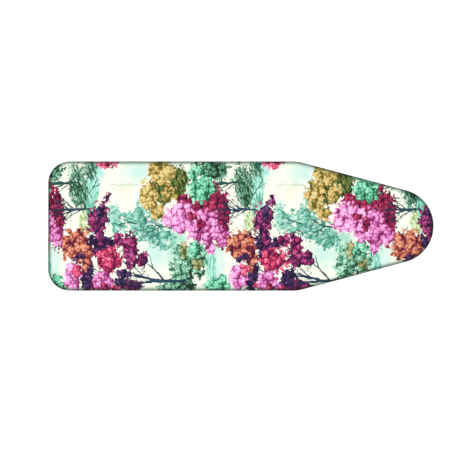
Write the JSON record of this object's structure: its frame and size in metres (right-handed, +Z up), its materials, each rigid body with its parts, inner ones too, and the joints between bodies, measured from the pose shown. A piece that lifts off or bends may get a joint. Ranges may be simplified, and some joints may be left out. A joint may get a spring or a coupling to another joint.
{
  "type": "ironing board",
  "caption": "Folding ironing board with a tapered padded top in a printed cover, scissor legs of round steel tube, and a lever-released slide lock.",
  "frame": {"origin": "on the floor, under the middle of the ironing surface, legs open", "axes": "+X to the nose, +Y to the left when facing the nose, +Z up"},
  "size_m": [1.206, 0.406, 0.9],
  "materials": {
    "cover": "matt cotton weave with a printed foliage pattern",
    "elastic": "woven elastic",
    "foam": "open-cell foam",
    "felt": "needled felt",
    "painted_steel": "satin powder coat",
    "zinc_steel": "bright zinc plate",
    "white_nylon": "natural moulded nylon",
    "black_plastic": "fine-grained moulding",
    "rubber": "matt moulded rubber"
  },
  "bodies": {
    "board": {"cover": "cover", "hem_elastic": "elastic", "foam_pad": "foam", "felt_underlay": "felt", "mesh_panel": "painted_steel", "rim": "painted_steel", "cross_rail_tip": "painted_steel", "cross_rail_pivot": "painted_steel", "cross_rail_middle": "painted_steel", "cross_rail_tail": "painted_steel", "pivot_bracket_left": "zinc_steel", "pivot_bracket_right": "zinc_steel", "pivot_axle": "zinc_steel", "pivot_axle_caps": "zinc_steel", "pivot_washers": "zinc_steel", "guide_rod_left": "zinc_steel", "guide_rod_right": "zinc_steel", "rod_hanger_front": "zinc_steel", "rod_hanger_rear": "zinc_steel", "rod_clips": "zinc_steel", "bracket_rivets": "zinc_steel"},
    "outer_legs": {"outer_leg_left": "painted_steel", "outer_leg_right": "painted_steel", "outer_leg_plugs": "black_plastic", "outer_foot_bar": "painted_steel", "outer_brace": "painted_steel", "outer_foot_cap_left": "rubber", "outer_foot_cap_right": "rubber", "cross_bolts": "zinc_steel", "cross_nuts": "zinc_steel", "cross_spacers": "white_nylon"},
    "inner_legs": {"inner_leg_left": "painted_steel", "inner_leg_right": "painted_steel", "inner_leg_plugs": "black_plastic", "inner_foot_bar": "painted_steel", "inner_brace": "painted_steel", "inner_foot_cap_left": "rubber", "inner_foot_cap_right": "rubber", "slide_axle": "zinc_steel", "axle_caps": "zinc_steel", "axle_spacers": "white_nylon"},
    "carriage": {"slider_left": "white_nylon", "slider_right": "white_nylon", "jam_springs": "zinc_steel"},
    "lever": {"lever_shaft": "zinc_steel", "lever_cams": "white_nylon", "lever_grip": "black_plastic", "shaft_clips": "zinc_steel"},
    "jam_plates": {"jam_plate_left": "zinc_steel", "jam_plate_right": "zinc_steel"}
  },
  "joints": [
    {"name": "leg_fold", "type": "hinge", "parent": "board", "child": "outer_legs", "pos_m": [0.2295, 0, 0.85], "axis": [0, 1, 0], "range_deg": [0, 48]},
    {"name": "leg_cross", "type": "hinge", "parent": "outer_legs", "child": "inner_legs", "pos_m": [-0.01797, 0, 0.55507], "axis": [0, 1, 0], "range_deg": [-96, 0]},
    {"name": "slider_level", "type": "hinge", "parent": "inner_legs", "child": "carriage", "pos_m": [-0.26545, 0, 0.85], "axis": [0, 1, 0], "range_deg": [0, 48]},
    {"name": "release_lever", "type": "hinge", "parent": "carriage", "child": "lever", "pos_m": [-0.21545, 0, 0.881], "axis": [0, 1, 0], "range_deg": [0, 18], "stiffness_Nm_per_rad": 1, "springref_deg": -17.19},
    {"name": "jam_tilt", "type": "hinge", "parent": "carriage", "child": "jam_plates", "pos_m": [-0.22625, 0, 0.847], "axis": [0, 1, 0], "range_deg": [-4.5, 0], "deforming": ["jam_springs"]}
  ],
  "couplings": [
    {"joint": "leg_cross", "follows": "leg_fold", "ratio": -2},
    {"joint": "slider_level", "follows": "leg_fold", "ratio": 1},
    {"joint": "jam_tilt", "follows": "release_lever", "ratio": -0.25}
  ]
}
